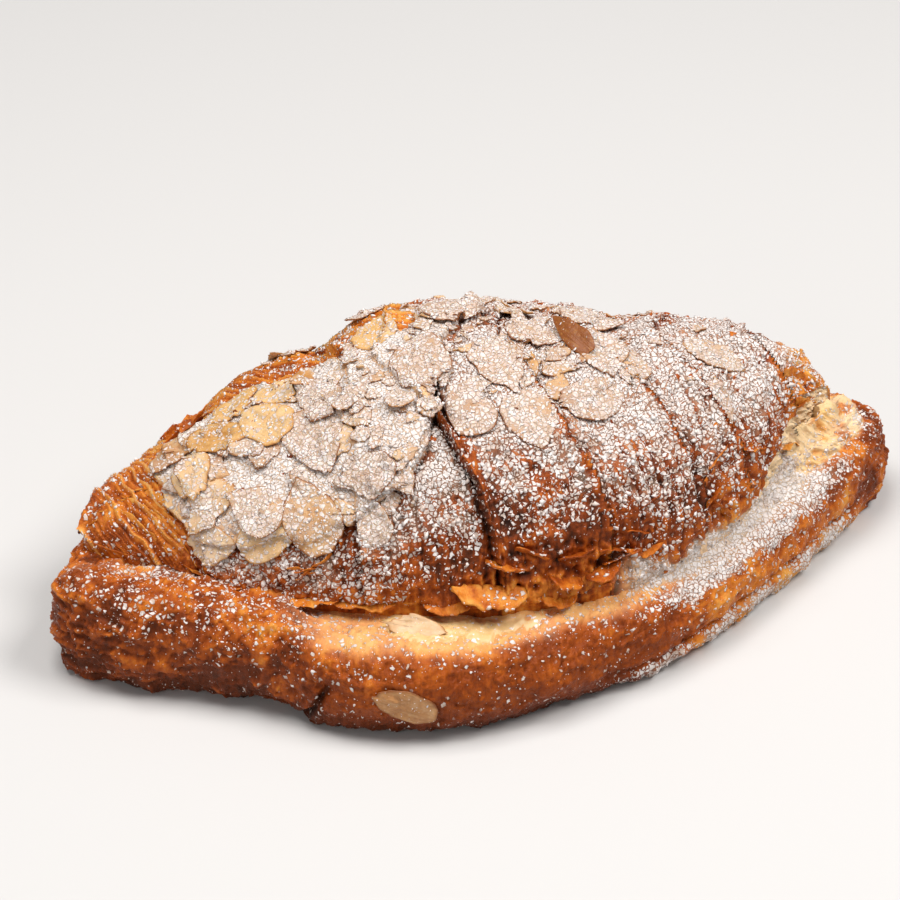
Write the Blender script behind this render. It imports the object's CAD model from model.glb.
"""Looks of the almond croissant: fine pastry, cream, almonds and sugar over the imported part.

Shapes are worked out in millimetres. Lights, camera and materials are in metres.
"""

import math
from functools import partial
from itertools import product

import bpy
import numpy as np
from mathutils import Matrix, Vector
from mathutils.bvhtree import BVHTree


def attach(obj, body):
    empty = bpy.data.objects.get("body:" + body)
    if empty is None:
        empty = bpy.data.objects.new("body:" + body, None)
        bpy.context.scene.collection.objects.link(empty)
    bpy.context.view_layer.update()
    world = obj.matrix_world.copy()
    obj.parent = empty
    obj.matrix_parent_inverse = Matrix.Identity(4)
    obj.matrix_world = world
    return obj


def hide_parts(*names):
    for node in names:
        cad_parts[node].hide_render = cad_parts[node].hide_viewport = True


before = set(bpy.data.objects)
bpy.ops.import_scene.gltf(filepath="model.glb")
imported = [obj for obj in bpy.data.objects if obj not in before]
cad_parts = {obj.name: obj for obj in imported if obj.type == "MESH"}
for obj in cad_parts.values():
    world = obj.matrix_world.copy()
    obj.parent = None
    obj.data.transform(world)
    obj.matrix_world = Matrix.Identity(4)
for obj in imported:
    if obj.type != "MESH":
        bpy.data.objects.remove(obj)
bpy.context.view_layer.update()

MM = 0.001
SEED = 20
UP = np.array([0, 0, 1.0])

# The same profiles as the solids: the rim's outline with its width and height, and the upper half's
# feet and crest at each x.
RIM_STOPS = np.array([
    (-83, 4, 8, 18), (-85, -6, 9, 21), (-78.5, -14.5, 12, 22), (-64, -21.5, 13, 22),
    (-48, -29, 13, 20), (-41, -37, 13, 18), (-18, -44.5, 12, 17.5), (10, -40, 12, 17),
    (35, -31, 10, 16.5), (57, -15.5, 9, 16.5), (77, 0, 10, 18), (85, 11, 10, 18), (80, 22, 9, 17),
    (60, 32, 9, 16.5), (32, 40, 9, 16.5), (0, 45.3, 9, 17), (-34, 42, 9, 17),
    (-60, 32.5, 9, 16.5), (-76.5, 18, 8, 16.5),
])
FRONT_STOPS = [
    (-77, 2), (-70, -2), (-63, -6), (-52, -14), (-43, -19), (-30, -24), (-15, -30),
    (0, -32), (20, -30), (33, -25), (43, -18), (53, -9), (62, 1), (73.5, 11),
]
BACK_STOPS = [(-77, 17), (-60, 27), (-40, 34), (-10, 38), (20, 36), (45, 31), (60, 26), (73.5, 17)]
TOP_STOPS = [
    (-77, 26.5), (-66, 29.5), (-52, 35), (-38, 42), (-24, 49), (-8, 53), (10, 51.5), (28, 48),
    (44, 44.5), (56, 40), (66, 36), (73.5, 31),
]
HOLLOW_HEIGHT, BED_HALF_LENGTH, BED_Y = 13.0, 52.0, 6.0
CREAM_TOP, GAP = 18.7, 0.35
LID_UNDERSIDE = CREAM_TOP + GAP
LID_LEFT, LID_RIGHT = -77.0, 73.5
CREST_SKEW, FOOT_TUCK, SECTION_FULLNESS = 3.0, math.radians(24), 0.88
LEFT_END_POWER, RIGHT_END_POWER = 7.0, 9.0

# Wrap edges: x at the crest and at the foot. The middle wrap lies on top of its neighbours.
WRAP_EDGES = [(-53, -57), (-25, -30), (-20, -6), (2.5, 15.5), (21.5, 36), (34, 46), (55, 61)]
MIDDLE_WRAP, WRAP_STEP = 3, 2.0
# Height of the rolls of the wraps on the back, at each x
BACK_ROLLS = [
    (-77, 1.5), (-70, 1.6), (-65, 0.4), (-60, 0), (-55.5, -1.7), (-51.5, -1.2), (-48, 0.6), (-42, 1.9),
    (-36, 1.4), (-32, 0.8), (-29, -1.4), (-25.5, -1.4), (-22, 0), (-18.5, 1.3), (-13, 1.6), (-6, 0.7),
    (4, 0.4), (12, 0), (24, -0.5), (30, -2.0), (34, -2.0), (38, -1.0), (45, -0.2), (60, 0.3), (68, 1.0),
    (73.5, 0),
]

# The crust of cream and almonds on the left shoulder: degrees round of its edges at each x, and height
PATCH_LOW = [
    (-66, 85), (-62, 55), (-57, 30), (-50, 27), (-40, 27), (-32, 30), (-25, 37), (-19, 47), (-14.5, 60),
    (-12, 76), (-8, 90), (0, 104),
]
PATCH_HIGH = [
    (-66, 90), (-58.5, 94), (-51, 103), (-44, 104), (-38, 100), (-33, 95), (-24, 93), (-14, 96), (-7, 104),
    (0, 118), (4, 124),
]
PATCH_HEIGHT = 1.9
# Upper edge of the bare crumb at the lower right: degrees round at each x
CRUMB_HIGH = [(50, -30), (52, 0), (55, 10), (59, 19), (64, 30), (69, 46), (73, 70)]
# Share of the upper half under icing sugar, by degrees round
LID_COVER = (
    [-20, 2, 12, 26, 48, 68, 90, 112, 140, 175],
    [0.0, 0.15, 0.29, 0.47, 0.78, 0.97, 1.0, 0.85, 0.45, 0.15],
)
# The torn blister at the front foot: x from, to, and degrees round
TORN_FROM, TORN_TO, TORN_MIDDLE, TORN_SPREAD = -14.0, 22.0, 6.0, 8.0

# Dense meshes of the two halves
LID_ROWS, LID_COLUMNS = 520, 376
LID_MIDDLE = (LID_ROWS // 2, LID_COLUMNS // 2)
RIM_ROWS, RIM_OUTER, RIM_INNER, RIM_SHELF, RIM_UNDER = 1400, 78, 16, 10, 3
# The upper half's skin goes on down to the rim's shelf, and is tucked in less than the solid
SKIRT_TURN, SKIRT_DEPTH, SHOWN_TUCK = math.radians(14), 2.8, math.radians(9)
SHELF_DROP, SHELF_TOP, SHELF_REACH = 0.9, 19.3, 6.5
# At the lower right the rim's inside climbs: to pale crumb, and before it to a bank of sugar
FILLET_HEIGHT, FILLET_REACH = 7.0, 8.5
BANK_HEIGHT, BANK_REACH = 2.8, 4.5
# Size and seed of the lumps, dents, crinkles and blisters, the blisters' radius, then size, level and
# seed of each layer of flakes, and how the flakes are squashed
LID_TEXTURE = (
    (17, 67), (5.5, 68), (2.1, 69), (3.4, 70), 0.42, [(6.5, 0.22, 80), (4.2, 0.3, 83), (8.5, 0.1, 86)],
    (1.0, 0.7, 0.7),
)
RIM_TEXTURE = (
    (19, 110), (6.5, 111), (2.3, 112), (4.5, 115), 0.45, [(7.5, 0.2, 120), (5.0, 0.28, 123)], (1, 1, 1.8),
)


# ---------------------------------------------------------------- noise

def lattice(cell, seed):
    """A repeatable number from -1 to 1 for each whole-number cell."""
    x, y, z = (cell[..., i].astype(np.int64).astype(np.uint32) for i in range(3))
    h = x * np.uint32(374761393) + y * np.uint32(668265263) + z * np.uint32(2246822519)
    h = h + np.uint32((seed * 3266489917) % 2**32)
    h = (h ^ (h >> np.uint32(13))) * np.uint32(1274126177)
    h = (h ^ (h >> np.uint32(16))) * np.uint32(2654435761)
    h = h ^ (h >> np.uint32(15))
    return h.astype(np.float64) / 2**31 - 1


def noise(points, size, seed):
    """Smooth noise, mostly from -1 to 1, whose bumps are about one size apart."""
    scaled = points / size
    cell = np.floor(scaled)
    part = scaled - cell
    ease = part**3 * (part * (part * 6 - 15) + 10)
    total = np.zeros(points.shape[:-1])
    for corner in product((0, 1), repeat=3):
        weight, slope = 1.0, 0.0
        for axis, high in enumerate(corner):
            weight = weight * (ease[..., axis] if high else 1 - ease[..., axis])
            slope = slope + lattice(cell + corner, seed * 3 + axis) * (part[..., axis] - high)
        total += weight * slope
    return total * 1.7


def fractal(points, size, seed, octaves=3, keep=0.5, shape=lambda value: value):
    """Noise with finer noise added, each octave half the size and keep times as strong."""
    total, strength = 0.0, 1.0
    for octave in range(octaves):
        total = total + strength * shape(noise(points, size / 2**octave, seed + 17 * octave))
        strength *= keep
    return total


def creases(points, size, seed):
    """Sharp ridges about one size apart, from -1 in the hollows to 1 on the ridges."""
    return fractal(points, size, seed, 2, shape=lambda value: 1 - 3 * np.abs(value))


def sawtooth(phase):
    """-0.5 to 0.5, climbing slowly and dropping sharply once in each whole number."""
    part = phase % 1
    return np.where(part < 0.86, part / 0.86, (1 - part) / 0.14) - 0.5


def uneven_layers(phase, seed):
    """Like sawtooth, with each climb of its own height, from nearly flat to twice as high."""
    number = np.floor(phase)
    height = 0.8 + 0.7 * lattice(np.stack([number, number * 0, number * 0], axis=-1), seed)
    return (sawtooth(phase) + 0.5) * height - 0.4


def cells(points, size, seed):
    """Distance to the nearest of scattered centres, in sizes, and a number for each centre."""
    scaled = points / size
    home = np.floor(scaled)
    nearest = np.full(points.shape[:-1], 9.0)
    number = np.zeros(points.shape[:-1])
    for offset in product((-1, 0, 1), repeat=3):
        cell = home + offset
        place = np.stack([lattice(cell, seed + k) for k in range(3)], axis=-1) * 0.42 + 0.5
        distance = np.linalg.norm(cell + place - scaled, axis=-1)
        closer = distance < nearest
        nearest = np.where(closer, distance, nearest)
        number = np.where(closer, lattice(cell, seed + 9), number)
    return nearest, number


def step(low, high, value):
    """0 below low, 1 above high, smooth between."""
    t = np.clip((value - low) / (high - low), 0, 1)
    return t * t * (3 - 2 * t)


def within(a, b, c, d, value):
    """0 before a, 1 from b to c, 0 after d, smooth between."""
    return step(a, b, value) * step(d, c, value)


def bump(centre, width, value):
    """1 at the centre, falling to 0 about one width away."""
    return np.exp(-(((value - centre) / width) ** 2))


def cubic(start, end, leave, arrive, t):
    """From start to end, with the given slopes at both."""
    a = 2 * start - 2 * end + leave + arrive
    b = -3 * start + 3 * end - 2 * leave - arrive
    return ((a * t + b) * t + leave) * t + start


def profile(stops, values):
    """A smooth curve through (place, height) stops, read at each value."""
    places, heights = np.array(stops, float).T
    slopes = np.gradient(heights, places)
    values = np.clip(values, places[0], places[-1])
    i = np.clip(np.searchsorted(places, values) - 1, 0, len(places) - 2)
    span = places[i + 1] - places[i]
    slope, next_slope = slopes[i] * span, slopes[i + 1] * span
    return cubic(heights[i], heights[i + 1], slope, next_slope, (values - places[i]) / span)


def texture(grid, lump, dent, crinkle, blister, blister_radius, flakes, squash):
    """Lumps, dents, crinkles, blisters and flakes of a baked crust."""
    near, number = cells(grid, *blister)
    blisters = np.maximum(0, 1 - (near / blister_radius) ** 2) * (number > 0.3)
    flaked = sum(
        step(level, level + 0.05, fractal(grid * np.array(squash), size, seed, keep=0.55))
        for size, level, seed in flakes
    )
    return fractal(grid, *lump, 2), fractal(grid, *dent), creases(grid, *crinkle), blisters, flaked


# ---------------------------------------------------------------- meshes

def outward(grid, probe=None, way=UP, closed_rows=False):
    """Unit normals of a grid of points, turned so that the one at the probe runs along way."""
    if closed_rows:
        along = np.roll(grid, -1, axis=0) - np.roll(grid, 1, axis=0)
    else:
        along = np.gradient(grid, axis=0)
    normal = np.cross(along, np.gradient(grid, axis=1))
    normal = normal / np.maximum(np.linalg.norm(normal, axis=-1, keepdims=True), 1e-9)
    turned = probe is not None and normal[probe] @ way < 0
    return -normal if turned else normal


def grid_faces(rows, columns, close_rows, close_columns):
    """Quads of a rows by columns grid."""
    r = np.arange(rows if close_rows else rows - 1)
    c = np.arange(columns if close_columns else columns - 1)
    r, c = np.meshgrid(r, c, indexing="ij")
    r2, c2 = (r + 1) % rows, (c + 1) % columns
    quads = np.stack([r * columns + c, r2 * columns + c, r2 * columns + c2, r * columns + c2], axis=-1)
    return quads.reshape(-1, 4)


def placed(name, data):
    """A new object in the scene."""
    obj = bpy.data.objects.new(name, data)
    bpy.context.scene.collection.objects.link(obj)
    return obj


def add_field(mesh, name, values):
    """A named number at each point of the mesh."""
    values = np.ascontiguousarray(values, dtype=np.float32).ravel()
    mesh.attributes.new(name, "FLOAT", "POINT").data.foreach_set("value", values)


def new_mesh(name, points, faces, fields, material, extra_faces=(), smooth=True, normals=None):
    """An object from points in millimetres, with a named number at each point for each field."""
    mesh = bpy.data.meshes.new(name)
    faces = faces.tolist() if isinstance(faces, np.ndarray) else list(faces)
    mesh.from_pydata((points.reshape(-1, 3) * MM).tolist(), [], faces + [list(f) for f in extra_faces])
    for field, values in fields.items():
        add_field(mesh, field, values)
    mesh.materials.append(material)
    if smooth:
        mesh.shade_smooth()
    mesh.update()
    if normals is not None:
        mesh.normals_split_custom_set_from_vertices(normals.reshape(-1, 3).tolist())
    return placed(name, mesh)


def grid_pieces(name, points, normals, fields, material, row_groups):
    """Closed pieces of one grid, one for each run of rows, that meet without a visible seam."""
    pieces = []
    columns = points.shape[1]
    for number, rows in enumerate(row_groups, start=1):
        count = len(rows)
        part = {field: values[rows] for field, values in fields.items()}
        ends = [range(columns), range((count - 1) * columns, count * columns)[::-1]]
        faces = grid_faces(count, columns, False, True)
        piece = new_mesh(f"{name}_{number}", points[rows], faces, part, material, ends, True, normals[rows])
        pieces.append(piece)
    return pieces


def looks(bake, sugar, pale, across, along):
    """The fields that the pastry and almond materials read."""
    shares = (("bake", bake), ("sugar", sugar), ("pale", pale))
    shares = {name: np.clip(value, 0, 1) for name, value in shares}
    return {**shares, "across": across * MM, "along": along * MM}


def belongs(obj, slot, *nodes):
    """The piece rides on the part, takes a slot's finish and stands for the nodes."""
    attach(obj, "root")
    if nodes:
        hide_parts(*nodes)
    return obj


# ---------------------------------------------------------------- upper half

def lid_section(x, angle):
    """y and z of the smooth upper half at x and an angle round, and how much its ends shrink it."""
    front, back, top = (profile(stops, x) for stops in (FRONT_STOPS, BACK_STOPS, TOP_STOPS))
    share = (x - (LID_LEFT + LID_RIGHT) / 2) / ((LID_RIGHT - LID_LEFT) / 2)
    power = np.where(share < 0, LEFT_END_POWER, RIGHT_END_POWER)
    scale = np.sqrt(np.maximum(0, 1 - np.abs(share) ** power))
    shown = np.cos(np.clip(angle, -SHOWN_TUCK, math.pi + SHOWN_TUCK))
    across = np.sign(shown) * np.abs(shown) ** SECTION_FULLNESS
    up = np.sin(angle)
    foot = math.sin(FOOT_TUCK) * 0.15
    height = (np.maximum(up, 0) ** SECTION_FULLNESS + np.minimum(up, 0) * 0.15 + foot) / (1 + foot)
    y = (front + back) / 2 - across * (back - front) / 2 * scale + CREST_SKEW * np.maximum(up, 0) * scale
    return y, LID_UNDERSIDE + (top - LID_UNDERSIDE) * scale * height, scale


def lid_base():
    """x, degrees round, distance round from the front foot, smooth points and shrink at the ends."""
    spread = (np.arange(LID_ROWS) + 0.5) / LID_ROWS
    spread = 0.7 * (1 - 2 * spread) + 0.3 * np.cos(math.pi * spread)
    x = (LID_LEFT + LID_RIGHT) / 2 - spread * (LID_RIGHT - LID_LEFT) / 2 * 0.9995
    lowest = FOOT_TUCK + SKIRT_TURN
    turn = np.linspace(-lowest, math.pi + lowest, LID_COLUMNS)
    drop = np.maximum(0, np.maximum(-FOOT_TUCK - turn, turn - math.pi - FOOT_TUCK)) / SKIRT_TURN * SKIRT_DEPTH
    x, turn = np.meshgrid(x, turn, indexing="ij")
    y, z, scale = lid_section(x, np.clip(turn, -FOOT_TUCK, math.pi + FOOT_TUCK))
    grid = np.stack([x, y, z - drop], axis=-1)
    steps = np.linalg.norm(np.diff(grid, axis=1), axis=-1)
    arc = np.concatenate([np.zeros((LID_ROWS, 1)), np.cumsum(steps, axis=1)], axis=1)
    return x, np.degrees(turn), arc, grid, scale


def wrap_relief(x, lean, rough):
    """Height of the rolled wraps, how near an edge's lip is, how near its foot, wrap number and place."""
    x = x + 1.1 * rough(14, 31) + 0.55 * rough(5, 32) + 0.25 * rough(2, 33)
    edges = [crest + (foot - crest) * lean for crest, foot in WRAP_EDGES]
    bounds = [np.full_like(x, LID_LEFT), *edges, np.full_like(x, LID_RIGHT)]
    index = sum((x > edge).astype(int) for edge in edges)
    low, high = np.choose(index, bounds[:-1]), np.choose(index, bounds[1:])
    across = np.clip((x - low) / (high - low), 0, 1)
    rise = np.where(index < MIDDLE_WRAP, 0.5 - across, across - 0.5)
    rise = np.where(index == MIDDLE_WRAP, np.abs(2 * across - 1) ** 2 / 2, rise)
    lip, groove = np.zeros_like(x), np.zeros_like(x)
    for k, edge in enumerate(edges):
        side, least, reach = (x - edge, 0.25, 0.75) if k < MIDDLE_WRAP else (edge - x, 0.75, 1.3)
        strength = np.clip(0.85 + 0.5 * rough(11, 40 + k), least, 1.2)
        lip = np.maximum(lip, np.where(side > 0, np.exp(-side / 1.1), 0) * strength)
        groove = np.maximum(groove, np.where(side <= 0, np.exp(side / reach), 0) * strength)
    return WRAP_STEP * rise, lip, groove, index, across


def patch_reach(x, around, rough):
    """How far inside the crust of cream and almonds on the left shoulder a point is."""
    ragged = 1.5 * rough(6, 51) + 1.1 * rough(2.8, 52) + 0.4 * rough(1.3, 53)
    below = (around - profile(PATCH_LOW, x)) * 0.45 + ragged
    left = (x + 62) + 1.6 * rough(5, 54)
    behind = (profile(PATCH_HIGH, x) + 2 - around) * 0.45 + 1.5 * rough(5, 55)
    right = (2 - x) + 2.5 * rough(6, 56)
    return np.minimum(np.minimum(below, left), np.minimum(behind, right))


def bare_ridges(x, arc, on_back, rough):
    """Phase and height of the edges of dough layers that show at the left end and on the back."""
    phase = 0.89 * x + 0.45 * arc + 2.4 * rough(12, 62) + 0.9 * rough(4.5, 63)
    back_phase = 0.30 * x + 0.95 * arc + 2.4 * rough(10, 57) + 0.8 * rough(4, 58)
    phase = np.where(on_back, back_phase, phase)
    ridges = uneven_layers(phase / 1.7, 111) * (0.9 + 0.6 * rough(5, 106))
    return phase, ridges + 0.22 * uneven_layers(phase / 0.7, 112)


def front_torn(x, around, rough):
    """1 inside the torn blister at the front foot."""
    ragged = 1.5 * rough(4, 95)
    along = within(TORN_FROM, TORN_FROM + 6, TORN_TO - 6, TORN_TO, x + ragged)
    return along * bump(TORN_MIDDLE, TORN_SPREAD, around + 2 * ragged)


def upper_half(material):
    x, around, arc, grid, scale = lid_base()
    rough, cloudy, creased = (partial(kind, grid) for kind in (noise, fractal, creases))
    lean = np.abs(np.cos(np.radians(np.clip(around, 0, 180))))
    above = np.clip(np.sin(np.radians(around)), 0, 1)

    # Where each feature lies
    wraps, lip, groove, index, across = wrap_relief(x, lean, rough)
    patch = patch_reach(x, around, rough)
    on_patch = step(-0.15, 0.15, patch)
    bare = 1 - on_patch
    below_patch = bare * np.exp(np.minimum(patch, 0) / 1.3) * step(122, 112, around) * step(-60, -56, x)
    left_end = step(-58, -63, x + 2 * rough(8, 60))
    past_patch = around - profile(PATCH_HIGH, x) + 4 * rough(7, 59)
    back_left = step(0, 6, past_patch) * step(-3, -13, x) * (1 - left_end)
    right_end = step(61, 66, x + 2 * rough(8, 61))
    behind = step(118, 140, around)
    front_low = step(44, 14, around)
    layers = np.clip(left_end + back_left, 0, 1)
    smooth = 1 - layers
    phase, ridges = bare_ridges(x, arc, back_left > 0.5, rough)
    place = x - 9 * lean * np.where(index < MIDDLE_WRAP, -0.4, 1.0)
    place = np.where(layers > 0.5, phase, place)
    ridged = cloudy(11, 90, 2) + 0.25 + 0.5 * step(14, 24, x) * front_low
    wrap_ridges = sawtooth((place + 1.2 * rough(7, 64)) / 2.3) * step(-0.1, 0.5, ridged)
    streaks = creases(np.stack([place / 1.1, arc / 6.0, index * 5.0], axis=-1), 1.0, 65)
    lumps, dents, crinkle, blisters, flakes = texture(grid, *LID_TEXTURE)
    torn = front_torn(x, around, rough)
    torn_creases = creased(3.6, 107)
    under_crust = (profile(CRUMB_HIGH, x) - around) * 0.4 + 1.3 * rough(4, 96) + 0.6 * rough(1.8, 97)
    crumb = step(-0.15, 0.2, under_crust) * step(49, 52, x) * step(100, 80, around)
    threads = sawtooth(arc / 1.7 + 0.8 * rough(5, 98)) * crumb
    near, number = cells(grid, 2.1, 99)
    pores = step(0.40, 0.15, near) * (number > -0.1) * crumb
    hollow = crumb * bump(64, 3.4, x) * bump(26, 12, around)
    rolls = profile(BACK_ROLLS, x + 0.8 * rough(6, 56)) * step(96, 120, around)
    gap = bump(-12.6 + 0.12 * (75 - around), 0.9, x) * step(56, 64, around) * step(80, 76, around)
    drift = step(15, 22, x) * step(3, -5, around + 6 * rough(4, 109) - 7 * step(26, 18, x)) * step(56, 50, x)

    # How far each raises or lowers the skin, in millimetres
    relief = wraps * above ** 0.25 * scale * (1 - 0.5 * on_patch) * step(128, 100, around) + rolls
    edges_shown = bare * (0.35 + 0.65 * above ** 0.3) * scale * (0.2 + 0.8 * step(100, 74, around))
    relief += (1.0 * lip - (1.5 + 0.5 * (index > MIDDLE_WRAP)) * groove) * edges_shown
    relief += 0.75 * lumps * (1 - 0.5 * behind) + 0.42 * dents * (1 - 0.5 * layers)
    relief += 0.11 * crinkle * (1 + 0.6 * front_low) * (1 - 0.7 * layers)
    relief += 0.35 * blisters * bare * smooth
    relief += (0.30 * flakes + 0.13 * streaks * step(110, 60, around)) * bare * (1 - 0.8 * layers)
    relief += (0.85 * layers + 0.7 * right_end + 0.35 * behind * smooth) * ridges * bare
    relief += (0.45 + 0.40 * step(10, 24, x)) * wrap_ridges * bare * smooth * (1 - right_end)
    relief += on_patch * (
        PATCH_HEIGHT * step(124, 100, around) + 0.30 * cloudy(3.2, 91, 2) + 0.16 * rough(1.4, 92)
    )
    relief += torn * (0.9 * torn_creases - 1.2) - 0.9 * below_patch - 2.4 * gap * bare
    relief -= (0.9 + 0.6 * pores + 0.6 * hollow - 0.5 * creased(1.8, 110)) * crumb - 0.5 * threads
    relief *= step(-24, 2, around) * step(204, 178, around) * 0.8 + 0.2
    moved = grid + outward(grid, LID_MIDDLE) * relief[..., None]
    moved[..., 0] += np.where(index >= MIDDLE_WRAP, 0.9, -0.9) * lip * edges_shown
    slope = outward(moved, LID_MIDDLE)
    facing_up = np.clip(slope[..., 2], -1, 1)
    lip_bare = (index >= MIDDLE_WRAP) * step(0.3, 0.7, lip)
    lip_bare = np.maximum((index == MIDDLE_WRAP) * step(0.17, 0.07, across), lip_bare) * step(84, 66, around)

    # How far each is baked: 0 is raw and 1 is nearly black
    bake = 0.74 + 0.15 * cloudy(9, 100) - 0.08 * crinkle + 0.28 * groove - 0.07 * streaks
    bake += (
        0.10 * bump(28, 22, around) * within(-40, -30, 34, 50, x)
        + 0.10 * bump(-8, 9, x) * bump(14, 12, around)
    )
    bake -= 0.26 * right_end + 0.08 * lip + 0.04 * flakes + 0.12 * behind + 0.12 * wrap_ridges
    bake -= 0.24 * (right_end + 0.5 * behind) * ridges
    bake = bake * smooth + layers * (0.46 + 0.18 * cloudy(6, 104) - 0.36 * ridges)
    bake += 0.40 * gap + 0.22 * below_patch - 0.34 * on_patch - 0.16 * torn * torn_creases
    bake -= 0.12 * step(14, 4, around) * step(-45, -35, x)
    bake = bake * (1 - crumb) + crumb * (0.06 + 0.10 * cloudy(4, 103) - 0.10 * threads + 0.15 * hollow)
    bake -= 0.06 * lip_bare + 0.16 * drift

    # Share of it under icing sugar
    sugar = np.interp(around + 9 * cloudy(7, 101), *LID_COVER)
    sugar += 0.14 * (index >= 4) * step(90, 60, around) + 0.20 * (index == 2) * step(12, 25, around)
    sugar += 0.16 * rough(4.5, 102) - 0.25 * step(0.25, -0.1, facing_up) - 0.40 * right_end
    sugar -= 0.90 * left_end + back_left * (0.48 + 0.35 * rough(9, 105))
    sugar += (
        0.95 * drift * (0.9 + 0.4 * rough(3, 108))
        + 0.04 * step(14, 24, x) * step(52, 30, around) * (1 - drift)
    )
    sugar -= 0.36 * step(0.05, -0.4, wrap_ridges) * step(4, 16, x) * step(100, 76, around) * (1 - drift)
    sugar = np.maximum(sugar, 0.22 * layers) + 0.20 * on_patch
    sugar *= (1 - groove.clip(0, 0.95)) * (1 - 0.6 * below_patch) * (1 - gap) * (1 - 0.7 * torn)
    sugar += 0.42 * within(-60, -54, -28, -18, x) * step(28, 14, around) * step(-12, 0, around)
    sugar *= 1 - 0.6 * lip_bare
    sugar = sugar * (1 - crumb) + crumb * (0.24 + 0.5 * rough(4, 122)) * step(-0.2, 0.4, facing_up)

    pale = on_patch * 0.6 + crumb + 0.08 * layers * step(0.2, 0.7, ridges) + 0.8 * drift
    half = LID_ROWS // 2
    groups = [np.arange(0, half + 1), np.arange(half, LID_ROWS)]
    fields = looks(bake, sugar, pale, place, arc)
    pieces = grid_pieces("upper_half_crust", moved, slope, fields, material, groups)
    return [belongs(obj, "crust", "upper_half") for obj in pieces]


# ---------------------------------------------------------------- lower half

def rim_outline():
    """x, y, width and height of the rim at each row, going round anticlockwise."""
    count = len(RIM_STOPS)
    place = np.arange(RIM_ROWS) / RIM_ROWS * count
    i = place.astype(int)
    before, start, end, after = (RIM_STOPS[(i + k) % count] for k in (-1, 0, 1, 2))
    return cubic(start, end, (end - before) / 2, (after - start) / 2, (place % 1)[:, None]).T


def way_in(x, y):
    """Unit direction from an outline point towards the bed's middle line, and x there."""
    bed_x = np.clip(x * 0.8, -BED_HALF_LENGTH, BED_HALF_LENGTH)
    direction = np.stack([bed_x - x, BED_Y - y], axis=-1)
    return direction / np.linalg.norm(direction, axis=-1, keepdims=True), bed_x


def shelf_level(height):
    """Height of the shelf that joins the rim's crest to the upper half's foot."""
    return np.minimum(height - SHELF_DROP, SHELF_TOP)


def from_outline(x, y, inward, distance, level):
    """Points at a distance in from each outline point, at a level."""
    flat = (start[:, None] + way[:, None] * distance for start, way in zip((x, y), inward.T))
    return np.stack([*flat, level], axis=-1)


def rim_base():
    """Smooth grid of the rim from its foot, over the crest, to the end of the shelf."""
    x, y, width, height = rim_outline()
    inward, bed_x = way_in(x, y)
    outer = np.radians(np.linspace(-90, 90, RIM_OUTER))
    inner = np.radians(np.linspace(0, 90, RIM_INNER + 1)[1:])
    shelf = np.linspace(0, SHELF_REACH, RIM_SHELF + 1)[1:]
    half = width[:, None] / 2
    seat = shelf_level(height)[:, None]
    distance = [half * (1 - np.cos(outer)), half * (1 + np.sin(inner)), width[:, None] + shelf]
    distance = np.concatenate(distance, axis=1)
    level = np.concatenate([
        height[:, None] / 2 * (1 + np.sin(outer)),
        seat + (height[:, None] - seat) * np.cos(inner),
        seat - 0.02 * shelf,
    ], axis=1)
    rising = (step(44, 56, x) * step(22, 12, y))[:, None]
    level += FILLET_HEIGHT * rising * np.clip((distance - half) / FILLET_REACH, 0, 1) ** 1.5
    bank = (step(16, 28, x) * step(22, 12, y))[:, None] * (1 - rising)
    level += BANK_HEIGHT * bank * step(0, BANK_REACH, distance - half)
    level[:, -1] = HOLLOW_HEIGHT
    turn = np.concatenate([np.degrees(outer), 90 + np.degrees(inner), 180 + 3 * shelf])
    return from_outline(x, y, inward, distance, level), turn + np.zeros_like(level), inward, bed_x


def distance_along(grid):
    """Distance along the rim from the left tip, the shorter way, at each point."""
    steps = np.linalg.norm(np.roll(grid, -1, axis=0) - grid, axis=-1)[:, RIM_OUTER // 2]
    along = np.concatenate([[0], np.cumsum(steps)[:-1]])
    return np.minimum(along, steps.sum() - along)[:, None] + np.zeros(grid.shape[:2])


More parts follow.
